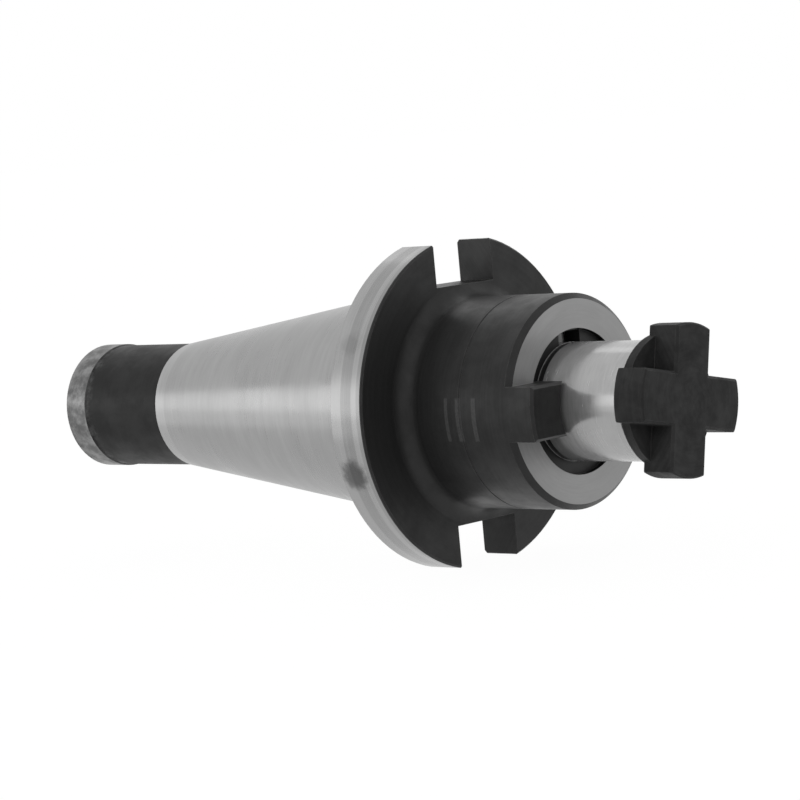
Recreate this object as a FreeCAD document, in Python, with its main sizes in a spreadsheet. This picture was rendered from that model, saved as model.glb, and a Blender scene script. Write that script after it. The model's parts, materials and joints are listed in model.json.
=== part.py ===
import FreeCAD, Part
import math
import os

import Sketcher

# Shell mill holder: steep taper shank, drive flange, loose drive ring, feather key and cutter screw.
# The tool axis is +X and points at the cutter. The origin is the centre of the taper's gauge plane.

SIZES = {
    # Taper shank
    "gauge_diameter": 44.45,
    "taper_rise": 7,
    "taper_run": 24,
    "taper_length": 65.4,
    "shank_length": 93.4,
    "neck_diameter": 24.8,
    "tail_ring_diameter": 25.3,
    "tail_ring_width": 6.5,
    "tail_ring_step": 0.4,
    "tail_chamfer": 1.0,
    # Drawbar hole in the tail
    "drawbar_thread": 16,
    "drawbar_allowance": 0.05,
    "drawbar_mouth": 17,
    "drawbar_mouth_depth": 6,
    "drawbar_countersink": 1.8,
    "drawbar_thread_depth": 36,
    "drawbar_core": 13.8,
    "drawbar_core_depth": 43,
    # Drive flange
    "flange_setback": 1.6,
    "relief_depth": 0.6,
    "flange_thickness": 8.4,
    "flange_diameter": 63,
    "flange_rear_chamfer": 0.6,
    "flange_front_chamfer": 0.3,
    "drive_slot_width": 16.1,
    "drive_slot_floor": 22.5,
    "drive_slot_count": 2,
    # Collar and cutter pilot
    "collar_diameter": 40,
    "collar_fillet": 3,
    "seam_chamfer": 0.2,
    "seat_distance": 35.5,
    "pilot_diameter": 22,
    "pilot_reach": 19,
    "pilot_chamfer": 1,
    "pilot_relief_depth": 0.2,
    # Drive ring
    "ring_thickness": 12,
    "ring_bore_clearance": 0.03,
    "ring_chamfer": 1,
    "recess_diameter": 27,
    "recess_depth": 1.2,
    "lug_width": 10,
    "lug_height": 5.6,
    "lug_pilot_gap": 0.6,
    "lug_chamfer": 0.5,
    "lug_count": 2,
    # Feather key between pilot and ring
    "key_width": 6,
    "key_height": 6,
    "key_length": 8,
    "key_seating": 4,
    "key_inset": 1,
    "key_end_gap": 0.05,
    "key_top_clearance": 0.1,
    "key_side_clearance": 0.03,
    "key_chamfer": 0.3,
    # Cutter screw and its hole
    "screw_thread": 10,
    "screw_allowance": 0.05,
    "screw_pitch": 1.5,
    "screw_reach": 18,
    "screw_tip_chamfer": 1,
    "screw_relief_width": 2,
    "screw_relief_depth": 1.1,
    "screw_gap": 0.3,
    "screw_turn": -11.5,
    "screw_hole_depth": 24,
    "screw_core": 8.5,
    "screw_core_depth": 28,
    "screw_countersink": 0.8,
    "head_diameter": 28,
    "head_height": 6.8,
    "head_disc": 1.8,
    "head_disc_diameter": 24.5,
    "head_arm_width": 9.7,
    "head_chamfer": 0.35,
    "head_arm_chamfer": 0.5,
    # Shared by the drilled holes: depth of the point for each millimetre of its radius
    "drill_point": 0.6,
    # Shared by the cut threads, as parts of the pitch
    "thread_depth_share": 0.6134,
    "thread_crest_share": 0.125,
}

# Places along the tool axis and radii that several sub-parts share
GAUGE_RADIUS = "Sizes.gauge_diameter / 2"
SMALL_END_RADIUS = "Sizes.gauge_diameter / 2 - Sizes.taper_length * Sizes.taper_rise / Sizes.taper_run / 2"
REAR_END = "-Sizes.shank_length"
FLANGE_FRONT = "(Sizes.flange_setback + Sizes.flange_thickness)"
COLLAR_FACE = "(Sizes.seat_distance - Sizes.ring_thickness)"
SEAT = "Sizes.seat_distance"
RECESS_FLOOR = "(Sizes.seat_distance - Sizes.recess_depth)"
PILOT_END = "(Sizes.seat_distance + Sizes.pilot_reach)"
HEAD_REAR = "(Sizes.seat_distance + Sizes.pilot_reach + Sizes.screw_gap)"
HEAD_FRONT = "(Sizes.seat_distance + Sizes.pilot_reach + Sizes.screw_gap + Sizes.head_height)"
SCREW_TIP = "(Sizes.seat_distance + Sizes.pilot_reach + Sizes.screw_gap - Sizes.screw_reach)"
SCREW_RADIUS = "(Sizes.screw_thread / 2 - Sizes.screw_allowance)"
RING_BORE_RADIUS = "(Sizes.pilot_diameter / 2 + Sizes.ring_bore_clearance)"
KEY_FLOOR = "(Sizes.pilot_diameter / 2 - Sizes.key_seating)"
KEY_START = "(Sizes.seat_distance - Sizes.ring_thickness + Sizes.key_inset)"
TOUCH = 0.001


def size_sheet(doc):
    sheet = doc.addObject("Spreadsheet::Sheet", "Sizes")
    for row, (name, value) in enumerate(SIZES.items(), start=1):
        sheet.set(f"A{row}", name)
        sheet.set(f"B{row}", str(value))
        sheet.setAlias(f"B{row}", name)
    doc.recompute()
    return sheet


def new_body(doc, label):
    body = doc.addObject("PartDesign::Body", label)
    body.Label = label
    return body


def new_sketch(body, name, role, offset=None):
    """A sketch on one of the body's own origin planes, moved along the plane's normal by an expression."""
    plane = next(o for o in body.Origin.OriginFeatures if o.Role == role)
    sketch = body.newObject("Sketcher::SketchObject", name)
    sketch.AttachmentSupport = [(plane, "")]
    sketch.MapMode = "FlatFace"
    if offset:
        sketch.setExpression("AttachmentOffset.Base.z", offset)
    return sketch


def sketch_point(sketch, across, along):
    """The point in the sketch that a pair of expressions gives."""
    return FreeCAD.Vector(float(sketch.evalExpression(across)), float(sketch.evalExpression(along)), 0)


def place_point(sketch, geometry, point, across, along):
    """Ties one point of the sketch to the sketch's origin, each way by an expression."""
    for kind, expression in (("DistanceX", across), ("DistanceY", along)):
        value = float(sketch.evalExpression(expression))
        index = sketch.addConstraint(Sketcher.Constraint(kind, -1, 1, geometry, point, value))
        if "Sizes" in expression:
            sketch.setExpression(f"Constraints[{index}]", expression)


def draw_outline(sketch, points):
    """A closed outline of straight edges through points given as pairs of expressions."""
    places = [sketch_point(sketch, *pair) for pair in points]
    following = places[1:] + places[:1]
    for start, end in zip(places, following):
        sketch.addGeometry(Part.LineSegment(start, end), False)
    for index, (across, along) in enumerate(points):
        after = (index + 1) % len(points)
        sketch.addConstraint(Sketcher.Constraint("Coincident", index, 2, after, 1))
        place_point(sketch, index, 1, across, along)


def draw_slot(sketch, start, end, width):
    """A slot with round ends along the sketch's first axis, between two places given as expressions."""
    left = sketch_point(sketch, f"{start} + {width} / 2", "0")
    right = sketch_point(sketch, f"{end} - {width} / 2", "0")
    up = sketch_point(sketch, "0", f"{width} / 2")
    radius = up.y
    normal = FreeCAD.Vector(0, 0, 1)
    quarter = math.pi / 2
    sketch.addGeometry(Part.LineSegment(left + up, right + up), False)
    sketch.addGeometry(Part.ArcOfCircle(Part.Circle(right, normal, radius), -quarter, quarter), False)
    sketch.addGeometry(Part.LineSegment(right - up, left - up), False)
    sketch.addGeometry(Part.ArcOfCircle(Part.Circle(left, normal, radius), quarter, 3 * quarter), False)
    for one, its_point, other, other_point in ((0, 2, 1, 2), (1, 1, 2, 1), (2, 2, 3, 2), (3, 1, 0, 1)):
        sketch.addConstraint(Sketcher.Constraint("Tangent", one, its_point, other, other_point))
    sketch.addConstraint(Sketcher.Constraint("Equal", 1, 3))
    place_point(sketch, 1, 3, f"{end} - {width} / 2", "0")
    place_point(sketch, 3, 3, f"{start} + {width} / 2", "0")
    index = sketch.addConstraint(Sketcher.Constraint("Radius", 1, radius))
    sketch.setExpression(f"Constraints[{index}]", f"{width} / 2")


def turned(body, name, points, kind="PartDesign::Revolution"):
    """Turns an outline about the tool axis; points are pairs of place along the axis and radius."""
    sketch = new_sketch(body, name + "_outline", "XZ_Plane")
    draw_outline(sketch, points)
    feature = body.newObject(kind, name)
    feature.Profile = sketch
    feature.ReferenceAxis = (sketch, ["H_Axis"])
    feature.Angle = 360
    body.Document.recompute()
    return feature


def bored(body, name, points):
    return turned(body, name, points, "PartDesign::Groove")


def about_axis(body, name, feature, count):
    """Repeats a feature about the tool axis."""
    pattern = body.newObject("PartDesign::PolarPattern", name)
    pattern.Originals = [feature]
    axis = next(o for o in body.Origin.OriginFeatures if o.Role == "X_Axis")
    pattern.Axis = (axis, [""])
    pattern.Angle = 360
    pattern.setExpression("Occurrences", count)
    body.Tip = pattern
    body.Document.recompute()
    return pattern


def edges_where(feature, wanted):
    """Names of the feature's edges for which the test says yes."""
    return [f"Edge{n}" for n, edge in enumerate(feature.Shape.Edges, start=1) if wanted(edge)]


def all_at(edge, place):
    """Whether a whole edge lies in the plane at this place along the tool axis."""
    box = edge.BoundBox
    return abs(box.XMin - place) < TOUCH and abs(box.XMax - place) < TOUCH


def straight_at(edge, places):
    """Whether an edge is straight and lies in one of the planes at these places along the axis."""
    return isinstance(edge.Curve, Part.Line) and any(all_at(edge, place) for place in places)


def dress(body, name, kind, base, edges, size):
    """A fillet or chamfer of one size on the named edges."""
    feature = body.newObject(kind, name)
    feature.Base = (base, edges)
    feature.setExpression("Radius" if kind.endswith("Fillet") else "Size", size)
    body.Document.recompute()
    return feature


def holder_body(doc, sheet):
    """Taper shank, drive flange, collar and pilot, turned in one piece."""
    body = new_body(doc, "holder_body")
    neck = "Sizes.neck_diameter / 2"
    tail = "Sizes.tail_ring_diameter / 2"
    ring_front = REAR_END + " + Sizes.tail_ring_width"
    relief = GAUGE_RADIUS + " - Sizes.relief_depth"
    flange = "Sizes.flange_diameter / 2"
    collar = "Sizes.collar_diameter / 2"
    pilot = "Sizes.pilot_diameter / 2"
    turned(body, "turned_blank", [
        (REAR_END, "0"),
        (REAR_END, tail + " - Sizes.tail_chamfer"),
        (REAR_END + " + Sizes.tail_chamfer", tail),
        (ring_front, tail),
        (ring_front + " + Sizes.tail_ring_step", neck),
        ("-Sizes.taper_length", neck),
        ("-Sizes.taper_length", SMALL_END_RADIUS),
        ("0", GAUGE_RADIUS),
        ("0", relief),
        ("Sizes.flange_setback", relief),
        ("Sizes.flange_setback", flange + " - Sizes.flange_rear_chamfer"),
        ("Sizes.flange_setback + Sizes.flange_rear_chamfer", flange),
        (FLANGE_FRONT + " - Sizes.flange_front_chamfer", flange),
        (FLANGE_FRONT, flange + " - Sizes.flange_front_chamfer"),
        (FLANGE_FRONT, collar),
        (COLLAR_FACE + " - Sizes.seam_chamfer", collar),
        (COLLAR_FACE, collar + " - Sizes.seam_chamfer"),
        (COLLAR_FACE, pilot),
        (RECESS_FLOOR, pilot),
        (RECESS_FLOOR, pilot + " - Sizes.pilot_relief_depth"),
        (SEAT, pilot + " - Sizes.pilot_relief_depth"),
        (SEAT, pilot),
        (PILOT_END + " - Sizes.pilot_chamfer", pilot),
        (PILOT_END, pilot + " - Sizes.pilot_chamfer"),
        (PILOT_END, "0"),
    ])
    blank = body.Tip
    front = sheet.flange_setback + sheet.flange_thickness
    around = math.pi * sheet.collar_diameter
    root = edges_where(blank, lambda e: all_at(e, front) and abs(e.Length - around) < TOUCH)
    dress(body, "collar_root", "PartDesign::Fillet", blank, root, "Sizes.collar_fillet")
    drawbar_hole(body)
    screw_hole(body)
    drive_slots(body)
    keyway(body)
    return body


def drawbar_hole(body):
    """The tapped hole in the tail, plain at the thread's major diameter."""
    wall = "Sizes.drawbar_thread / 2 + Sizes.drawbar_allowance"
    mouth = "Sizes.drawbar_mouth / 2"
    core = "Sizes.drawbar_core / 2"
    bored(body, "drawbar_hole", [
        (REAR_END, "0"),
        (REAR_END, mouth + " + Sizes.drawbar_countersink"),
        (REAR_END + " + Sizes.drawbar_countersink", mouth),
        (REAR_END + " + Sizes.drawbar_mouth_depth", mouth),
        (REAR_END + " + Sizes.drawbar_mouth_depth", wall),
        (REAR_END + " + Sizes.drawbar_thread_depth", wall),
        (REAR_END + " + Sizes.drawbar_thread_depth", core),
        (REAR_END + " + Sizes.drawbar_core_depth", core),
        (REAR_END + " + Sizes.drawbar_core_depth + Sizes.drill_point * Sizes.drawbar_core / 2", "0"),
    ])


def screw_hole(body):
    """The tapped hole in the pilot's end, plain at the thread's major diameter."""
    wall = "Sizes.screw_thread / 2"
    core = "Sizes.screw_core / 2"
    bored(body, "screw_hole", [
        (PILOT_END, "0"),
        (PILOT_END, wall + " + Sizes.screw_countersink"),
        (PILOT_END + " - Sizes.screw_countersink", wall),
        (PILOT_END + " - Sizes.screw_hole_depth", wall),
        (PILOT_END + " - Sizes.screw_hole_depth", core),
        (PILOT_END + " - Sizes.screw_core_depth", core),
        (PILOT_END + " - Sizes.screw_core_depth - Sizes.drill_point * Sizes.screw_core / 2", "0"),
    ])


def drive_slots(body):
    """Two slots across the flange for the spindle's drive keys."""
    sketch = new_sketch(body, "drive_slot_outline", "YZ_Plane")
    half = "Sizes.drive_slot_width / 2"
    past_rim = "Sizes.flange_diameter"
    draw_outline(sketch, [
        ("-" + half, "Sizes.drive_slot_floor"),
        (half, "Sizes.drive_slot_floor"),
        (half, past_rim),
        ("-" + half, past_rim),
    ])
    pocket = body.newObject("PartDesign::Pocket", "drive_slot")
    pocket.Profile = sketch
    pocket.Reversed = True
    pocket.setExpression("Length", FLANGE_FRONT + " + Sizes.collar_fillet")
    body.Document.recompute()
    about_axis(body, "drive_slots", pocket, "Sizes.drive_slot_count")


def keyway(body):
    """The closed keyway in the pilot, inside the drive ring's length."""
    sketch = new_sketch(body, "keyway_outline", "XY_Plane", KEY_FLOOR)
    draw_slot(sketch, KEY_START, KEY_START + " + Sizes.key_length", "Sizes.key_width")
    pocket = body.newObject("PartDesign::Pocket", "keyway")
    pocket.Profile = sketch
    pocket.Reversed = True
    pocket.setExpression("Length", "Sizes.pilot_diameter")
    body.Document.recompute()


def feather_key(doc):
    """The round-ended key that turns the drive ring with the pilot."""
    body = new_body(doc, "feather_key")
    sketch = new_sketch(body, "key_outline", "XY_Plane", KEY_FLOOR)
    start = KEY_START + " + Sizes.key_end_gap"
    end = KEY_START + " + Sizes.key_length - Sizes.key_end_gap"
    draw_slot(sketch, start, end, "(Sizes.key_width - 2 * Sizes.key_end_gap)")
    pad = body.newObject("PartDesign::Pad", "key_blank")
    pad.Profile = sketch
    pad.setExpression("Length", "Sizes.key_height")
    doc.recompute()
    top = pad.Shape.BoundBox.ZMax
    rim = edges_where(pad, lambda e: abs(e.BoundBox.ZMin - top) < TOUCH)
    dress(body, "key_edges", "PartDesign::Chamfer", pad, rim, "Sizes.key_chamfer")
    return body


def drive_ring(doc, sheet):
    """The loose ring whose two lugs drive the cutter."""
    body = new_body(doc, "drive_ring")
    outside = "Sizes.collar_diameter / 2"
    recess = "Sizes.recess_diameter / 2"
    turned(body, "ring_blank", [
        (COLLAR_FACE, RING_BORE_RADIUS),
        (COLLAR_FACE, outside + " - Sizes.seam_chamfer"),
        (COLLAR_FACE + " + Sizes.seam_chamfer", outside),
        (SEAT + " - Sizes.ring_chamfer", outside),
        (SEAT, outside + " - Sizes.ring_chamfer"),
        (SEAT, recess),
        (RECESS_FLOOR, recess),
        (RECESS_FLOOR, RING_BORE_RADIUS),
    ])
    lug = drive_lug(body)
    lugs = about_axis(body, "drive_lugs", lug, "Sizes.lug_count")
    tip = sheet.seat_distance + sheet.lug_height
    edges = edges_where(lugs, lambda e: all_at(e, tip))
    dress(body, "lug_edges", "PartDesign::Chamfer", lugs, edges, "Sizes.lug_chamfer")
    ring_keyway(body)
    return body


def drive_lug(body):
    """One lug, from just off the pilot out to the ring's rim, standing on the recess floor."""
    sketch = new_sketch(body, "lug_outline", "YZ_Plane", RECESS_FLOOR)
    half = "Sizes.lug_width / 2"
    inner = "(Sizes.pilot_diameter / 2 + Sizes.lug_pilot_gap)"
    outer = "(Sizes.collar_diameter / 2)"
    inner_across = f"sqrt({inner} * {inner} - {half} * {half})"
    outer_across = f"sqrt({outer} * {outer} - {half} * {half})"
    low_corners = [(inner_across, "-" + half), (outer_across, "-" + half)]
    high_corners = [(outer_across, half), (inner_across, half)]
    low_in, low_out = (sketch_point(sketch, *corner) for corner in low_corners)
    high_out, high_in = (sketch_point(sketch, *corner) for corner in high_corners)
    sketch.addGeometry(Part.LineSegment(low_in, low_out), False)
    sketch.addGeometry(Part.Arc(low_out, sketch_point(sketch, outer, "0"), high_out), False)
    sketch.addGeometry(Part.LineSegment(high_out, high_in), False)
    sketch.addGeometry(Part.Arc(low_in, sketch_point(sketch, inner, "0"), high_in), False)
    for one, its_point, other, other_point in ((0, 2, 1, 1), (1, 2, 2, 1), (2, 2, 3, 2), (3, 1, 0, 1)):
        sketch.addConstraint(Sketcher.Constraint("Coincident", one, its_point, other, other_point))
    for arc in (1, 3):
        place_point(sketch, arc, 3, "0", "0")
    for point, corner in enumerate(low_corners, start=1):
        place_point(sketch, 0, point, *corner)
    sketch.addConstraint(Sketcher.Constraint("Horizontal", 2))
    width = high_in.y - low_in.y
    index = sketch.addConstraint(Sketcher.Constraint("DistanceY", 0, 1, 2, 2, width))
    sketch.setExpression(f"Constraints[{index}]", "Sizes.lug_width")
    pad = body.newObject("PartDesign::Pad", "drive_lug")
    pad.Profile = sketch
    pad.setExpression("Length", "Sizes.recess_depth + Sizes.lug_height")
    body.Document.recompute()
    return pad


def ring_keyway(body):
    """The keyway through the ring's bore, with clearance over the key."""
    sketch = new_sketch(body, "ring_keyway_outline", "YZ_Plane", COLLAR_FACE)
    half = "(Sizes.key_width / 2 + Sizes.key_side_clearance)"
    roof = KEY_FLOOR + " + Sizes.key_height + Sizes.key_top_clearance"
    draw_outline(sketch, [("-" + half, "0"), (half, "0"), (half, roof), ("-" + half, roof)])
    pocket = body.newObject("PartDesign::Pocket", "ring_keyway")
    pocket.Profile = sketch
    pocket.Reversed = True
    pocket.setExpression("Length", "Sizes.ring_thickness")
    body.Document.recompute()


def cutter_screw(doc, sheet):
    """The screw that holds the cutter: cross-shaped head, relief and cut thread."""
    body = new_body(doc, "cutter_screw")
    head = "Sizes.head_diameter / 2"
    relief = SCREW_RADIUS + " - Sizes.screw_relief_depth"
    relief_rear = HEAD_REAR + " - Sizes.screw_relief_width"
    turned(body, "screw_blank", [
        (SCREW_TIP, "0"),
        (SCREW_TIP, SCREW_RADIUS + " - Sizes.screw_tip_chamfer"),
        (SCREW_TIP + " + Sizes.screw_tip_chamfer", SCREW_RADIUS),
        (relief_rear, SCREW_RADIUS),
        (relief_rear, relief),
        (HEAD_REAR, relief),
        (HEAD_REAR, head + " - Sizes.head_chamfer"),
        (HEAD_REAR + " + Sizes.head_chamfer", head),
        (HEAD_FRONT + " - Sizes.head_chamfer", head),
        (HEAD_FRONT, head + " - Sizes.head_chamfer"),
        (HEAD_FRONT, "0"),
    ])
    head_notches(body)
    corners = head_disc_corners(body)
    rear = sheet.seat_distance + sheet.pilot_reach + sheet.screw_gap
    front = rear + sheet.head_height
    ends = edges_where(corners, lambda e: straight_at(e, (rear, front)))
    dress(body, "arm_edges", "PartDesign::Chamfer", corners, ends, "Sizes.head_arm_chamfer")
    screw_thread(body)
    body.Placement = FreeCAD.Placement(FreeCAD.Vector(), FreeCAD.Rotation(FreeCAD.Vector(1, 0, 0), 0))
    body.setExpression("Placement.Rotation.Angle", "Sizes.screw_turn")
    doc.recompute()
    return body


def head_notches(body):
    """Four corner notches that leave the head a cross, for the wrench's four teeth."""
    sketch = new_sketch(body, "head_notch_outline", "YZ_Plane", HEAD_REAR + " + Sizes.head_disc")
    half = "Sizes.head_arm_width / 2"
    past_rim = "Sizes.head_diameter"
    draw_outline(sketch, [(half, half), (past_rim, half), (past_rim, past_rim), (half, past_rim)])
    pocket = body.newObject("PartDesign::Pocket", "head_notch")
    pocket.Profile = sketch
    pocket.Reversed = True
    pocket.setExpression("Length", "Sizes.head_height")
    body.Document.recompute()
    about_axis(body, "head_notches", pocket, "4")


def head_disc_corners(body):
    """Trims the disc behind the cross, between its arms, to a smaller diameter than the arms'."""
    sketch = new_sketch(body, "disc_corner_outline", "YZ_Plane", HEAD_REAR)
    half = "Sizes.head_arm_width / 2"
    rim = "(Sizes.head_disc_diameter / 2)"
    rim_across = f"sqrt({rim} * {rim} - {half} * {half})"
    past_rim = "Sizes.head_diameter"
    outer = [(half, past_rim), (past_rim, past_rim), (past_rim, half)]
    corners = [(half, rim_across), *outer, (rim_across, half)]
    places = [sketch_point(sketch, *corner) for corner in corners]
    for start, end in zip(places, places[1:]):
        sketch.addGeometry(Part.LineSegment(start, end), False)
    middle = sketch_point(sketch, f"{rim} * sqrt(0.5)", f"{rim} * sqrt(0.5)")
    sketch.addGeometry(Part.Arc(places[-1], middle, places[0]), False)
    meetings = ((0, 2, 1, 1), (1, 2, 2, 1), (2, 2, 3, 1), (3, 2, 4, 1), (4, 2, 0, 1))
    for one, its_point, other, other_point in meetings:
        sketch.addConstraint(Sketcher.Constraint("Coincident", one, its_point, other, other_point))
    for line, corner in enumerate(corners[:4]):
        place_point(sketch, line, 1, *corner)
    place_point(sketch, 4, 3, "0", "0")
    sketch.addConstraint(Sketcher.Constraint("Horizontal", 3))
    pocket = body.newObject("PartDesign::Pocket", "disc_corner")
    pocket.Profile = sketch
    pocket.Reversed = True
    pocket.setExpression("Length", "Sizes.head_disc")
    body.Document.recompute()
    return about_axis(body, "disc_corners", pocket, "4")


def screw_thread(body):
    """The groove of the thread, run in from past the tip to the relief under the head."""
    sketch = new_sketch(body, "thread_outline", "XZ_Plane")
    depth = "Sizes.screw_pitch * Sizes.thread_depth_share"
    start = SCREW_TIP + " - Sizes.screw_pitch"
    wide = "Sizes.screw_pitch * (1 - Sizes.thread_crest_share) / 2"
    narrow = f"({wide} - {depth} * tan(30))"
    clear = "Sizes.screw_allowance"
    wider = f"({wide} + {clear} * tan(30))"
    draw_outline(sketch, [
        (f"{start} - {wider}", f"{SCREW_RADIUS} + {clear}"),
        (f"{start} + {wider}", f"{SCREW_RADIUS} + {clear}"),
        (f"{start} + {narrow}", f"{SCREW_RADIUS} - {depth}"),
        (f"{start} - {narrow}", f"{SCREW_RADIUS} - {depth}"),
    ])
    helix = body.newObject("PartDesign::SubtractiveHelix", "screw_thread")
    helix.Profile = sketch
    helix.ReferenceAxis = (sketch, ["H_Axis"])
    helix.Mode = "pitch-height-angle"
    helix.setExpression("Pitch", "Sizes.screw_pitch")
    length = "Sizes.screw_reach + Sizes.screw_pitch - Sizes.screw_relief_width / 2"
    helix.setExpression("Height", length)
    body.Document.recompute()


def check_features(doc):
    """Stops if any object failed, or if a feature that cuts left as much metal as before."""
    for item in doc.Objects:
        if "Invalid" in item.State or "Error" in item.State:
            raise RuntimeError(f"{item.Label} is {item.State}")
    for item in doc.Objects:
        cuts = item.TypeId in ("PartDesign::Pocket", "PartDesign::Groove", "PartDesign::SubtractiveHelix")
        if cuts and item.Shape.Volume > item.BaseFeature.Shape.Volume - TOUCH:
            raise RuntimeError(f"{item.Label} cuts nothing")


def main():
    doc = FreeCAD.newDocument("shell_mill_holder")
    sheet = size_sheet(doc)
    bodies = [holder_body(doc, sheet), drive_ring(doc, sheet), feather_key(doc), cutter_screw(doc, sheet)]
    doc.recompute()
    check_features(doc)
    os.makedirs("parts", exist_ok=True)
    for body in bodies:
        shape = body.Shape
        if shape.isNull() or not shape.isValid() or len(shape.Solids) != 1:
            raise RuntimeError(f"{body.Label} is not one valid solid")
        shape.exportStep(f"parts/{body.Label}.step")
        box = shape.BoundBox
        print(f"{body.Label}: {shape.Volume:.1f} mm3, x {box.XMin:.2f} to {box.XMax:.2f}")


main()
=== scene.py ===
# %% [markdown]
# # A shell mill holder in a white studio
# A shell mill holder is the part between a milling machine's spindle and a shell mill. Its steep taper
# sits in the spindle, two keys of the spindle drive the flange by its slots, the cutter goes on the
# pilot, two lugs of the loose ring drive the cutter, and a screw with a cross-shaped head holds it.
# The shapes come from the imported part. This script gives them their finishes, cuts the two tapped
# holes' threads, and sets up a camera and a plain studio.

# %% Load the part as a fixed frame
import bpy
import json
import math
import numpy as np
from mathutils import Matrix, Vector

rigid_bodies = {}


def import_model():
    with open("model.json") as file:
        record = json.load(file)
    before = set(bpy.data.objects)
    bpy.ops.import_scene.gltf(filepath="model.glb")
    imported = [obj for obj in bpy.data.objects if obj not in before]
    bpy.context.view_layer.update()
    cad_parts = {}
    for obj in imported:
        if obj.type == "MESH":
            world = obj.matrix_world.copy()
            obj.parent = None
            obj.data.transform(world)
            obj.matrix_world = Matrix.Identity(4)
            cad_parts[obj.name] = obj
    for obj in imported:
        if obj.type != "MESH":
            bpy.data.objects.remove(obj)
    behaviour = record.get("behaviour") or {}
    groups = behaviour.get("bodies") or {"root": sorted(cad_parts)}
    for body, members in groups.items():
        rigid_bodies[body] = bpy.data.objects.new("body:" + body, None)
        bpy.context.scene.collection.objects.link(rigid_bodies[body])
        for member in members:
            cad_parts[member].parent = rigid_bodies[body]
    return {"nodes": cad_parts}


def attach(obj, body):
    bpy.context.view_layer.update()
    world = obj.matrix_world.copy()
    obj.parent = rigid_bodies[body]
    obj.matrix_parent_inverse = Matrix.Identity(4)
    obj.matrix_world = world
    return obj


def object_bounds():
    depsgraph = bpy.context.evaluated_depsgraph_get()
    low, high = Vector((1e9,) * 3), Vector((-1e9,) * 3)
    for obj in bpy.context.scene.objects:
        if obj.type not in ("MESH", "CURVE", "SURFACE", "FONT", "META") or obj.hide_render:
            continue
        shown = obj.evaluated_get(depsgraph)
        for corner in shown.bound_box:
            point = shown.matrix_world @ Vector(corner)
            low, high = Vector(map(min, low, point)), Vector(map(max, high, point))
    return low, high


MM = 1000.0

for leftover in list(bpy.data.objects):
    bpy.data.objects.remove(leftover)
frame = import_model()
cad_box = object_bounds()
nodes = frame["nodes"]
print("the part's box in mm:", [[round(MM * v, 2) for v in corner] for corner in cad_box])

# %% [markdown]
# ## The camera
# The picture shows the holder from the side and a little from the front, with a long lens, so that
# near and far ends keep almost one scale. The direction, distance and lens below were fitted to the
# ends of the part's circles. The camera stands at the height of the tool's axis, and the whole part
# is rolled 7 degrees about that axis, so here the camera is turned about it the other way.

# %% Camera
LENS = 149.09
SENSOR = 36.0
TO_CAMERA = Vector((0.68209, -0.72581, 0.08912))
PICTURE_RIGHT = Vector((0.73125, 0.67601, -0.09106))
PICTURE_UP = Vector((0.00585, 0.12728, 0.99185))
CAMERA_PLACE = Vector((0.42689, -0.46447, 0.05753))

lens = bpy.data.cameras.new("picture_camera")
lens.lens = LENS
lens.sensor_width = SENSOR
camera = bpy.data.objects.new("picture_camera", lens)
turn = Matrix((PICTURE_RIGHT, PICTURE_UP, TO_CAMERA)).transposed().to_4x4()
camera.matrix_world = Matrix.Translation(CAMERA_PLACE) @ turn
bpy.context.scene.collection.objects.link(camera)
bpy.context.scene.camera = camera
bpy.context.scene.view_settings.view_transform = "Standard"
print("camera stands", round(CAMERA_PLACE.length, 3), "m from the gauge plane's centre")

# %% [markdown]
# ## Helpers for shader nodes
# Every finish here is built from nodes. A handful of small functions keep that readable: each one
# adds a node, links what it is given and returns its output, so a finish reads like a sum.

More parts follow.
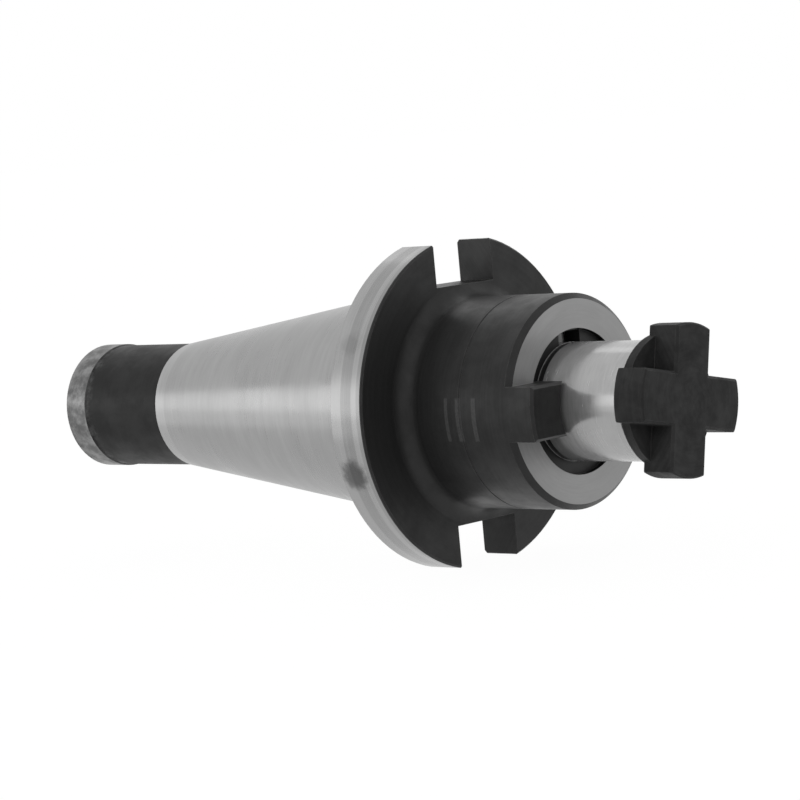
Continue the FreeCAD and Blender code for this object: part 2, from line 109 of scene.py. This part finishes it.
# %% Node helpers
class Shader:
    """A node tree with short calls. An input may be a number, a colour or another node's output."""

    def __init__(self, owner):
        owner.use_nodes = True
        self.tree = owner.node_tree
        self.tree.nodes.clear()

    def node(self, kind, inputs=(), **settings):
        made = self.tree.nodes.new(kind)
        for name, value in settings.items():
            setattr(made, name, value)
        for key, value in dict(inputs).items():
            if isinstance(value, bpy.types.NodeSocket):
                self.tree.links.new(value, made.inputs[key])
            else:
                made.inputs[key].default_value = value
        return made

    def math(self, operation, *values):
        return self.node("ShaderNodeMath", enumerate(values), operation=operation).outputs[0]

    def vector(self, operation, *values):
        return self.node("ShaderNodeVectorMath", enumerate(values), operation=operation)

    def ramp(self, value, low, high, to_low=0.0, to_high=1.0):
        """A smooth step from to_low at low to to_high at high."""
        inputs = {"Value": value, "From Min": low, "From Max": high,
                  "To Min": to_low, "To Max": to_high}
        return self.node("ShaderNodeMapRange", inputs, interpolation_type="SMOOTHSTEP").outputs[0]

    def swing(self, value, low, high, size):
        """A smooth step from -size at low to size at high."""
        return self.ramp(value, low, high, -size, size)

    def between(self, value, low, high, blur):
        """1 between low and high and 0 outside, over a soft edge of width blur."""
        rise = self.ramp(value, low - blur, low + blur)
        fall = self.ramp(value, high - blur, high + blur, 1.0, 0.0)
        return self.math("MULTIPLY", rise, fall)

    def mix(self, share, first, second):
        """A mix of two colours or two numbers."""
        grey = not isinstance(first, (tuple, bpy.types.NodeSocketColor))
        kind = "FLOAT" if grey else "RGBA"
        made = self.node("ShaderNodeMix", data_type=kind)
        wanted = [s for s in made.inputs if s.enabled]
        for socket, value in zip(wanted, (share, first, second)):
            if isinstance(value, bpy.types.NodeSocket):
                self.tree.links.new(value, socket)
            else:
                socket.default_value = value
        return next(s for s in made.outputs if s.enabled)

    def noise(self, vector, scale, detail=3.0, roughness=0.5):
        inputs = {"Vector": vector, "Scale": scale, "Detail": detail, "Roughness": roughness}
        return self.node("ShaderNodeTexNoise", inputs).outputs["Fac"]

    def steps(self, value, first, *later):
        """first, then from each later step's place on, that step's level."""
        level = first
        for place, after in later:
            level = self.mix(self.ramp(value, place - 0.1, place + 0.1), level, after)
        return level

    def product(self, *values):
        total = values[0]
        for value in values[1:]:
            total = self.math("MULTIPLY", total, value)
        return total

    def total(self, *values):
        so_far = values[0]
        for value in values[1:]:
            so_far = self.math("ADD", so_far, value)
        return so_far

    def neutral(self, level):
        """A neutral colour from a level that changes over the surface."""
        return self.node("ShaderNodeCombineColor", {0: level, 1: level, 2: level}).outputs[0]


def grey(level):
    """A neutral colour from one linear level."""
    return (level, level, level, 1.0)


# %% [markdown]
# ## The studio
# The background is plain white. The world is white only for rays that come straight from the camera
# or by a reflection; it lights the part at a plain, lower level. The floor does the same, and keeps a
# share of its ordinary diffuse finish, so the part still casts a faint shadow.

# %% World
WORLD_LIGHT = 0.5

world = bpy.data.worlds.new("white_studio")
bpy.context.scene.world = world
s = Shader(world)


def seen_directly(shader):
    """1 for rays from the camera, or by a reflection or through glass; 0 for light on a surface."""
    path = shader.node("ShaderNodeLightPath")
    straight = shader.math("MAXIMUM", path.outputs["Is Camera Ray"], path.outputs["Is Glossy Ray"])
    return shader.math("MAXIMUM", straight, path.outputs["Is Transmission Ray"])


plain = s.node("ShaderNodeBackground", {"Color": grey(1.0), "Strength": WORLD_LIGHT})
white = s.node("ShaderNodeBackground", {"Color": grey(1.0), "Strength": 1.0})
seen = seen_directly(s)
both = s.node("ShaderNodeMixShader", {0: seen, 1: plain.outputs[0], 2: white.outputs[0]})
s.node("ShaderNodeOutputWorld", {"Surface": both.outputs[0]})
print("world: white to the eye, light level", WORLD_LIGHT)

# %% Floor
FLOOR_HALF = 6.0
FLOOR_DROP = 0.0002
FLOOR_GREY = 0.6
FLOOR_SHARE = 0.9
FLOOR_GLOW = 1.08

floor_height = cad_box[0].z - FLOOR_DROP
steps = np.linspace(-FLOOR_HALF, FLOOR_HALF, 3)
across, along = np.meshgrid(steps, steps)
corners = np.stack([across.ravel(), along.ravel(), np.full(across.size, floor_height)], axis=1)
squares = [(i, i + 1, i + 4, i + 3) for i in (0, 1, 3, 4)]
floor_mesh = bpy.data.meshes.new("floor")
floor_mesh.from_pydata(corners.tolist(), [], squares)
floor = bpy.data.objects.new("floor", floor_mesh)
bpy.context.scene.collection.objects.link(floor)

paper = bpy.data.materials.new("white_paper")
s = Shader(paper)
matt = s.node("ShaderNodeBsdfDiffuse", {"Color": grey(FLOOR_GREY)})
glow = s.node("ShaderNodeEmission", {"Color": grey(1.0), "Strength": FLOOR_GLOW})
share = s.math("MULTIPLY", seen_directly(s), FLOOR_SHARE)
both = s.node("ShaderNodeMixShader", {0: share, 1: matt.outputs[0], 2: glow.outputs[0]})
s.node("ShaderNodeOutputMaterial", {"Surface": both.outputs[0]})
floor_mesh.materials.append(paper)
print("floor at", round(MM * floor_height, 2), "mm")

# %% [markdown]
# ## Soft lamps
# The long bright band on the taper is the mirror image of one upright soft box that stands on the
# left, at the camera's height. The floor hides that box's lower end from the part, so a dim card lies
# on the floor in front of it and carries the band on. A long box above and behind draws the thin
# light line along the top of the dark collar, and a box in front fills the dark faces. Each lamp is
# given by the direction from the part, its distance, its size and how bright its face is, because
# that brightness is what a ground surface mirrors.

# %% Lamps
ROLL = math.radians(7.0)
UP = Vector((0.0, 0.0, 1.0))
CARD_DIRECTION = Vector((-0.77, -0.64, 0.0)).normalized()
CARD_DISTANCE = 0.42
CARD_LIFT = 0.001


def lamp(name, direction, distance, width, height, brightness):
    """A soft box facing the part. direction is in the picture's frame: right along the tool's axis,
    away from the viewer, and up. Power is brightness times pi times the box's area."""
    along_axis, away, up = direction
    cos, sin = math.cos(ROLL), math.sin(ROLL)
    out = Vector((along_axis, away * cos + up * sin, up * cos - away * sin)).normalized()
    light = bpy.data.lights.new(name, "AREA")
    light.shape = "RECTANGLE"
    light.size = width
    light.size_y = height
    light.energy = brightness * math.pi * width * height
    box = bpy.data.objects.new(name, light)
    facing = out.to_track_quat("Z", "Y").to_matrix().to_4x4()
    box.matrix_world = Matrix.Translation(out * distance) @ facing
    bpy.context.scene.collection.objects.link(box)
    print(f"{name}: {light.energy:.2f} W from", [round(v, 2) for v in out])
    return box


lamp("side_box", (-0.77, -0.64, -0.025), 0.9, 0.62, 0.38, 1.08)
lamp("top_back_box", (-0.45, 0.45, 0.77), 0.9, 0.5, 0.2, 0.6)
lamp("front_fill", (0.45, -0.85, 0.45), 1.4, 0.6, 0.6, 0.6)
card = lamp("low_card", CARD_DIRECTION, CARD_DISTANCE, 0.5, 0.56, 0.32)
card_place = CARD_DIRECTION * CARD_DISTANCE + UP * (floor_height + CARD_LIFT)
lying = Matrix((CARD_DIRECTION.cross(UP), CARD_DIRECTION, -UP)).transposed().to_4x4()
card.matrix_world = Matrix.Translation(card_place) @ lying

# %% [markdown]
# ## Where a point is on the part
# Nearly every surface here is turned about one axis, so two numbers say where a point is: its place
# along that axis, and its distance from it. Both are worked out from Object coordinates, in
# millimetres. They split bright metal from blackened metal, and drive the marks of turning and
# grinding, which run around the axis.

# %% Place on the part
PROFILE_LEAN = 0.73
WEAR_STARTS = 0.995
WEAR_FULL = 0.90


def place(shader):
    """Place along the tool's axis and distance from it in mm, the two cross coordinates in mm, and
    the unit vector away from the axis."""
    point = shader.node("ShaderNodeTexCoord").outputs["Object"]
    scaled = shader.vector("SCALE", point)
    scaled.inputs["Scale"].default_value = MM
    parts = shader.node("ShaderNodeSeparateXYZ", {0: scaled.outputs[0]})
    x, y, z = parts.outputs
    radial = shader.node("ShaderNodeCombineXYZ", {"X": 0.0, "Y": y, "Z": z}).outputs[0]
    radius = shader.vector("LENGTH", radial).outputs["Value"]
    outward = shader.vector("NORMALIZE", radial).outputs[0]
    return {"point": scaled.outputs[0], "x": x, "y": y, "z": z,
            "radius": radius, "outward": outward}


def around(shader, at):
    """The direction round the axis: the cross product of the axis and the outward direction."""
    return shader.vector("CROSS_PRODUCT", (1.0, 0.0, 0.0), at["outward"]).outputs[0]


def turned_lines(shader, at, pitch, wander):
    """Marks of turning or grinding. Noise in a space squeezed along the profile and stretched round
    the axis: its first coordinate is (x + lean times r) / pitch, which changes along cones, rims,
    faces and chamfers alike; the others are the outward direction times wander, so lines fade in
    and out."""
    profile = shader.math("MULTIPLY_ADD", at["radius"], PROFILE_LEAN, at["x"])
    fine = shader.math("DIVIDE", profile, pitch)
    drift = shader.vector("SCALE", at["outward"])
    drift.inputs["Scale"].default_value = wander
    parts = shader.node("ShaderNodeSeparateXYZ", {0: drift.outputs[0]}).outputs
    space = shader.node("ShaderNodeCombineXYZ", {"X": fine, "Y": parts[1], "Z": parts[2]})
    return shader.noise(space.outputs[0], 1.0, 2.0, 0.6)


def edge_wear(shader, reach):
    """1 on sharp edges and 0 on flat ground: how far the normal of an edge rounded by reach leans
    from the true one."""
    true_normal = shader.node("ShaderNodeNewGeometry").outputs["Normal"]
    rounded = shader.node("ShaderNodeBevel", {"Radius": reach}, samples=8).outputs[0]
    likeness = shader.vector("DOT_PRODUCT", true_normal, rounded).outputs["Value"]
    return shader.ramp(likeness, WEAR_STARTS, WEAR_FULL)


def turn_about_axis(shader, at):
    """Angle about the axis in degrees, 0 towards -Y and positive towards +Z."""
    angle = shader.math("ARCTAN2", at["z"], shader.math("MULTIPLY", at["y"], -1.0))
    return shader.math("MULTIPLY", angle, 180.0 / math.pi)


# %% [markdown]
# ## Ground steel
# The taper, the flange's rim, the pilot and the ring's face are hardened and ground. Ground steel
# mirrors its surroundings in a soft way, and more softly across the grinding lines than along them.
# So the shader is fully metallic, has anisotropy with its direction round the axis, and takes its
# colour, roughness and bump from the same fine lines, plus faint large clouds from handling.

# %% Ground steel
def ground_steel(shader, at, level, roughness, pitch=0.35):
    """Colour, roughness and height of ground steel at a mean level."""
    lines = turned_lines(shader, at, pitch, 3.0)
    bands = turned_lines(shader, at, 9 * pitch, 1.2)
    clouds = shader.noise(at["point"], 0.09, 4.0, 0.6)
    tone = shader.total(shader.swing(lines, 0.25, 0.75, 0.06), shader.swing(bands, 0.3, 0.7, 0.04),
                        shader.swing(clouds, 0.3, 0.7, 0.05), 1.0)
    rough = shader.total(shader.swing(clouds, 0.3, 0.7, 0.05), shader.swing(lines, 0.2, 0.8, 0.05),
                         roughness)
    return shader.neutral(shader.product(tone, level)), rough, lines


# %% [markdown]
# ## Blackened steel
# The rest is blackened: a thin oxide, dark grey with a satin sheen, a little cloudy, with turning
# marks under it. It is not metallic to the eye, so the shader is plain with low specular, and wears
# through to bright metal on its edges.

# %% Blackened steel
BLACK_LEVEL = 0.016
BLACK_ROUGH = 0.42
WORN_LEVEL = 0.08
WORN_REACH = 0.0004
# The light bars across collar and ring: the middle one, over the seam between them, is a painted
# highlight; the outer two are plain lighter bars.
LIGHT_BAR_LEVEL = 0.07
GRAIN_HEIGHT = 0.4
BARS = ((19.9, 20.7), (22.6, 23.9), (26.5, 27.5))
BAR_TURN = (-14.0, 9.0)
EDGE_ROUNDING = 0.00012
BUMP_STRENGTH = 0.6
ACROSS_THE_LINES = 0.25


def light_bar_mask(shader, at):
    """1 on three light bars across the middle of collar and ring; the middle one, over the seam
    between them, is a painted highlight, the outer two plain lighter bars.
    """
    across = [shader.between(at["x"], low, high, 0.12) for low, high in BARS]
    any_bar = shader.math("MAXIMUM", shader.math("MAXIMUM", across[0], across[1]), across[2])
    length = shader.between(turn_about_axis(shader, at), *BAR_TURN, 0.6)
    patchy = shader.ramp(shader.noise(at["point"], 1.6, 3.0, 0.6), 0.3, 0.6, 0.5, 1.0)
    return shader.product(any_bar, length, patchy)


def blackened_steel(shader, at, level=BLACK_LEVEL, pitch=0.55, marks=0.0):
    """Colour, roughness and height of blackened steel, with the oxide rubbed thin along edges and
    lightened to one level where marks is 1, on light bars, the middle one a painted highlight."""
    lines = turned_lines(shader, at, pitch, 2.0)
    clouds = shader.noise(at["point"], 0.22, 5.0, 0.6)
    grain = shader.noise(at["point"], 2.6, 3.0, 0.6)
    tone = shader.total(shader.swing(clouds, 0.3, 0.7, 0.28), shader.swing(lines, 0.3, 0.7, 0.18), 1.0)
    strength = shader.product(tone, level)
    patchy = shader.ramp(shader.noise(at["point"], 0.45, 4.0, 0.6), 0.35, 0.65, 0.15, 0.9)
    rub = shader.product(edge_wear(shader, WORN_REACH), patchy)
    strength = shader.mix(rub, strength, WORN_LEVEL)
    strength = shader.mix(marks, strength, LIGHT_BAR_LEVEL)
    rough = shader.total(shader.swing(clouds, 0.3, 0.7, -0.06), BLACK_ROUGH)
    height = shader.total(shader.product(grain, GRAIN_HEIGHT), lines)
    return shader.neutral(strength), rough, height


def surface(shader, at, colour, rough, height, metal, specular, anisotropic, bump):
    """The shader itself, with lines as bump. Highlights stretch at a quarter turn to the grinding
    lines, which run round the axis."""
    rounded = shader.node("ShaderNodeBevel", {"Radius": EDGE_ROUNDING}, samples=4).outputs[0]
    relief = {"Height": height, "Distance": bump, "Strength": BUMP_STRENGTH, "Normal": rounded}
    bumped = shader.node("ShaderNodeBump", relief).outputs[0]
    inputs = {"Base Color": colour, "Roughness": rough, "Metallic": metal, "Normal": bumped,
              "Specular IOR Level": specular, "Anisotropic": anisotropic,
              "Anisotropic Rotation": ACROSS_THE_LINES, "Tangent": around(shader, at)}
    principled = shader.node("ShaderNodeBsdfPrincipled", inputs)
    shader.node("ShaderNodeOutputMaterial", {"Surface": principled.outputs[0]})


def finish_mix(shader, share, first, second):
    """Mixes two finishes by a share, number by number."""
    return [shader.mix(share, a, b) for a, b in zip(first, second)]


# %% [markdown]
# ## The holder
# One piece of steel carries both finishes. Which one a point has follows from its place: the neck
# behind the taper, the walls of the drive slots, and all of the flange's front and the collar are
# black; the taper, the rim, the tail ring and the pilot are bright.

# %% Holder finish
TAIL_RING_END = -86.9
NECK_END = -65.45
RIM_BACK = 1.62
RIM_FRONT = 9.5
COLLAR_END = 23.52
PILOT_END = 54.5
RIM_RADIUS = 31.5
TAPER_RADIUS = 22.4
SLOT_HALF = 8.05
HOLE_RADIUS = 8.6
TAIL_LEVEL = 0.2
# The taper's first 3 mm after the neck are a little lighter: a painted highlight on its small end.
TAPER_STEPS_AND_PAINTED_HIGHLIGHT = ((TAIL_RING_END, 0.36), (NECK_END + 3.0, 0.33))
# The rim is painted in bands along its width, lighter, darker, lighter, darker: painted highlight and
# painted shade, not shape.
RIM_PAINTED_BANDS = ((RIM_BACK, 0.34), (4.7, 0.28), (7.3, 0.34), (8.6, 0.28))
PILOT_LEVEL = 0.5
PILOT_METAL = 0.5
NECK_BLACK = 0.005
NECK_MATT = 0.08
PILOT_RELIEF = (34.2, 35.49)
RELIEF_RADIUS = 10.95
SOFTNESS = (0.42, (TAIL_RING_END, 0.32), (RIM_BACK, 0.28), (COLLAR_END, 0.22))
# Two ragged spots on the rim are made darker, the lower one more.
RIM_DARK_SPOTS = ((5.4, -18.0, 2.9, 0.38), (5.6, 27.0, 2.2, 0.82))
HOLDER_BUMP = 0.000006


def rim_dark_spot(shader, at, x, turn, radius):
    """1 in the middle of a ragged spot on the rim, given by its place, its angle and its radius."""
    turned = shader.math("SUBTRACT", turn_about_axis(shader, at), turn)
    arc = shader.math("MULTIPLY", turned, math.radians(RIM_RADIUS))
    aside = shader.math("SUBTRACT", at["x"], x)
    off = shader.node("ShaderNodeCombineXYZ", {"X": arc, "Y": aside, "Z": 0.0}).outputs[0]
    distance = shader.vector("LENGTH", off).outputs["Value"]
    ragged = shader.math("MULTIPLY_ADD", shader.noise(at["point"], 0.5, 4.0, 0.65), 3.0, distance)
    on_rim = shader.ramp(at["radius"], RIM_RADIUS - 1.0, RIM_RADIUS - 0.5)
    return shader.math("MULTIPLY", on_rim, shader.ramp(ragged, radius + 3.0, radius - 0.2))


def black_parts(shader, at, mottle):
    """1 where the holder is black: neck, slot walls, flange front, collar, undercut and holes."""
    ragged = shader.math("MULTIPLY_ADD", shader.math("SUBTRACT", mottle, 0.5), 9.0, at["x"])
    thin_by_tail = shader.ramp(ragged, TAIL_RING_END - 2.5, TAIL_RING_END + 2.0, 0.6, 1.0)
    neck = shader.product(shader.between(at["x"], TAIL_RING_END, NECK_END, 0.02), thin_by_tail)
    front = shader.between(at["x"], RIM_FRONT, COLLAR_END, 0.05)
    across = shader.ramp(shader.math("ABSOLUTE", at["y"]), SLOT_HALF + 0.02, SLOT_HALF + 0.01)
    below_rim = shader.ramp(at["radius"], RIM_RADIUS - 0.06, RIM_RADIUS - 0.1)
    above_taper = shader.ramp(at["radius"], TAPER_RADIUS, TAPER_RADIUS + 0.05)
    past_back = shader.ramp(at["x"], RIM_BACK, RIM_BACK + 0.02)
    slots = shader.product(across, below_rim, above_taper, past_back)
    inside = shader.ramp(at["radius"], HOLE_RADIUS + 0.02, HOLE_RADIUS)
    holes = shader.product(inside, shader.ramp(at["x"], PILOT_END - 0.1, PILOT_END - 0.2))
    undercut = shader.product(shader.between(at["x"], *PILOT_RELIEF, 0.01),
                              shader.ramp(at["radius"], RELIEF_RADIUS, RELIEF_RADIUS - 0.02))
    turned = shader.math("MAXIMUM", shader.math("MAXIMUM", neck, front), undercut)
    return shader.math("MAXIMUM", turned, shader.math("MAXIMUM", slots, holes))


steel = bpy.data.materials.new("ground_and_blackened_steel")
s = Shader(steel)
at = place(s)
mottle = s.noise(at["point"], 0.35, 5.0, 0.65)
tail = s.product(s.ramp(mottle, 0.35, 0.65, 0.6, 1.3), TAIL_LEVEL)
# This level carries the painted highlight at the taper's small end and the painted light and dark
# bands on the rim.
level = s.steps(at["x"], tail, *TAPER_STEPS_AND_PAINTED_HIGHLIGHT, *RIM_PAINTED_BANDS, (COLLAR_END, PILOT_LEVEL))
for x, turn, radius, light_left in RIM_DARK_SPOTS:
    level = s.product(level, s.ramp(rim_dark_spot(s, at, x, turn, radius), 0.0, 1.0, 1.0, light_left))
bright = ground_steel(s, at, level, s.steps(at["x"], *SOFTNESS))
black_level = s.steps(at["x"], NECK_BLACK, (NECK_END, BLACK_LEVEL))
# Light bars on the collar; the middle one is a painted highlight.
colour, rough, height = blackened_steel(s, at, black_level, marks=light_bar_mask(s, at))
black = (colour, s.total(rough, s.steps(at["x"], NECK_MATT, (NECK_END, 0.0))), height)
is_black = black_parts(s, at, mottle)
colour, rough, height = finish_mix(s, is_black, bright, black)
bare = s.ramp(is_black, 0.2, 0.8, 1.0, 0.0)
metal = s.product(bare, s.steps(at["x"], 1.0, (COLLAR_END, PILOT_METAL)))
surface(s, at, colour, rough, height, metal, specular=0.3, anisotropic=0.6, bump=HOLDER_BUMP)
nodes["holder_body"].material_slots[0].material = steel

# %% [markdown]
# ## The drive ring
# The ring is blackened all over. Its front, its back and its bore are ground afterwards, because they
# carry the cutter, bear on the collar and run on the pilot. Its chamfers, recess and lugs stay black.

# %% Ring finish
RING_BACK = 23.5
RING_FACE = 35.5
GROUND_RADIUS = 18.95
BORE_RADIUS = 11.06
FACE_LEVEL = 0.3
FACE_ROUGH = 0.48
FACE_PITCH = 0.3
RECESS_RADIUS = 13.5
RECESS_PAINTED_SHADE_LEVEL = 0.006
RING_BUMP = 0.000006

ring_steel = bpy.data.materials.new("blackened_ring_with_ground_faces")
s = Shader(ring_steel)
at = place(s)
bright = ground_steel(s, at, FACE_LEVEL, FACE_ROUGH, FACE_PITCH)
in_recess = s.ramp(at["radius"], RECESS_RADIUS + 0.03, RECESS_RADIUS + 0.01)
below_face = s.ramp(at["x"], RING_FACE, RING_FACE - 0.02)
# The recess around the pilot is painted darker than the rest of the black: painted shade.
black_level = s.mix(s.product(in_recess, below_face), BLACK_LEVEL, RECESS_PAINTED_SHADE_LEVEL)
# Light bars on the ring; the middle one, at the seam, is a painted highlight.
black = blackened_steel(s, at, black_level, marks=light_bar_mask(s, at))
on_face = s.between(at["x"], RING_FACE - 0.02, RING_FACE + 0.02, 0.01)
on_front = s.product(on_face, s.ramp(at["radius"], GROUND_RADIUS + 0.03, GROUND_RADIUS))
on_back = s.ramp(at["x"], RING_BACK + 0.03, RING_BACK + 0.01)
in_bore = s.ramp(at["radius"], BORE_RADIUS + 0.04, BORE_RADIUS)
is_bright = s.math("MAXIMUM", on_front, s.math("MAXIMUM", on_back, in_bore))
colour, rough, height = finish_mix(s, is_bright, black, bright)
surface(s, at, colour, rough, height, is_bright, specular=0.3, anisotropic=0.4, bump=RING_BUMP)
nodes["drive_ring"].material_slots[0].material = ring_steel

# %% [markdown]
# ## The feather key
# A key is bought as drawn bar and fitted by hand, so it is plain steel, dulled by oil.

# %% Key finish
KEY_LEVEL = 0.16
KEY_ROUGH = 0.42
KEY_BUMP = 0.000004

key_steel = bpy.data.materials.new("drawn_key_steel")
s = Shader(key_steel)
at = place(s)
colour, rough, height = ground_steel(s, at, KEY_LEVEL, KEY_ROUGH)
surface(s, at, colour, rough, height, 1.0, specular=0.5, anisotropic=0.3, bump=KEY_BUMP)
nodes["feather_key"].material_slots[0].material = key_steel

# %% [markdown]
# ## The cutter screw
# The screw is blackened all over, head and thread, a little lighter and more matt than the rest.

# %% Screw finish
SCREW_BLACK = 0.030
SCREW_MARKS = 0.7
SCREW_MATT = 0.2
SCREW_BUMP = 0.000008

screw_steel = bpy.data.materials.new("blackened_screw_steel")
s = Shader(screw_steel)
at = place(s)
colour, rough, height = blackened_steel(s, at, SCREW_BLACK, SCREW_MARKS)
rough = s.total(rough, SCREW_MATT)
surface(s, at, colour, rough, height, 0.0, specular=0.2, anisotropic=0.0, bump=SCREW_BUMP)
nodes["cutter_screw"].material_slots[0].material = screw_steel

# %% [markdown]
# ## The two tapped holes
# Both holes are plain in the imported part, at their threads' major diameter. Here each gets a sleeve
# with the real ridges. A sleeve is one grid: its rows run along the hole's wall and back inside the
# metal, its columns run round the axis, and the ridge follows a right-hand helix. The ridge in the
# pilot is slimmer than a full thread and follows the groove of the screw, found from the screw itself.

# %% Threads
DRAWBAR_SPAN = (-87.35, -57.5)
DRAWBAR_PITCH = 2.0
SCREW_SPAN = (30.6, 53.65)
SCREW_PITCH = 1.5
GROOVE_SPAN = (40.0, 51.0)
GROOVE_BOTTOM = 4.06
RIDGE_BEHIND = 0.25
ROWS_PER_TURN = 14
COLUMNS = 96


def groove_place(node, pitch):
    """Where the centre of the screw's groove crosses the +Z side, in mm along the axis: the mean,
    on a circle of one pitch, of x - pitch * a / 2 pi over the groove's bottom."""
    mesh = nodes[node].data
    points = np.empty(3 * len(mesh.vertices))
    mesh.vertices.foreach_get("co", points)
    world = np.array(nodes[node].matrix_world)
    x, y, z = MM * (world[:3, :3] @ points.reshape(-1, 3).T + world[:3, 3:])
    bottom = (np.hypot(y, z) < GROOVE_BOTTOM) & (x > GROOVE_SPAN[0]) & (x < GROOVE_SPAN[1])
    turns = x[bottom] / pitch - np.arctan2(-y[bottom], z[bottom]) / (2 * np.pi)
    mean = np.exp(2j * np.pi * turns).mean()
    print("groove found from", int(bottom.sum()), "points, agreement", round(float(abs(mean)), 3))
    return float(np.angle(mean)) / (2 * np.pi) * pitch


def thread_sleeve(name, span, pitch, ridge_at_top, root, crest, crest_width, outside):
    """A closed sleeve in mm that lines a plain hole with a right-hand thread. A point is
    (x, -r sin a, r cos a). On the inner wall r = root - (root - crest) h, where h is 1 within half
    the crest's width of the helix x = ridge_at_top + pitch a / 2 pi, falls to 0 along flanks at 30
    degrees, and fades over one pitch at each end. On the outer wall r = outside."""
    start, end = span
    along = np.linspace(start, end, int((end - start) / pitch * ROWS_PER_TURN))
    angle = np.linspace(0.0, 2 * np.pi, COLUMNS, endpoint=False)
    x, a = np.meshgrid(along, angle, indexing="ij")
    turns = (x - ridge_at_top) / pitch - a / (2 * np.pi)
    off = np.abs(turns - np.round(turns)) * pitch
    flank = (root - crest) * math.tan(math.radians(30.0))
    height = np.clip((crest_width / 2 + flank - off) / flank, 0.0, 1.0)
    fade = np.clip((x - start) / pitch, 0.0, 1.0) * np.clip((end - x) / pitch, 0.0, 1.0)
    inner = root - (root - crest) * height * fade
    back_x = np.repeat([[end], [start]], COLUMNS, axis=1)
    x = np.vstack([x, back_x])
    r = np.vstack([inner, np.full((2, COLUMNS), outside)])
    a = np.vstack([a, a[:2]])
    points = np.stack([x, -r * np.sin(a), r * np.cos(a)], axis=-1).reshape(-1, 3) / MM
    rows = len(x)
    i, j = np.meshgrid(np.arange(rows), np.arange(COLUMNS), indexing="ij")
    here, ahead = i * COLUMNS, (i + 1) % rows * COLUMNS
    beside = (j + 1) % COLUMNS
    faces = np.stack([here + j, ahead + j, ahead + beside, here + beside], axis=-1).reshape(-1, 4)
    mesh = bpy.data.meshes.new(name)
    mesh.from_pydata(points.tolist(), [], faces.tolist())
    mesh.polygons.foreach_set("use_smooth", [True] * len(faces))
    mesh.materials.append(steel)
    piece = bpy.data.objects.new(name, mesh)
    bpy.context.scene.collection.objects.link(piece)
    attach(piece, "holder")
    print(name, len(faces), "faces")


thread_sleeve("drawbar_thread", DRAWBAR_SPAN, DRAWBAR_PITCH, ridge_at_top=0.0,
              root=8.03, crest=6.92, crest_width=0.25, outside=8.12)
thread_sleeve("pilot_thread", SCREW_SPAN, SCREW_PITCH,
              ridge_at_top=groove_place("cutter_screw", SCREW_PITCH) - RIDGE_BEHIND,
              root=4.985, crest=4.45, crest_width=0.15, outside=5.06)
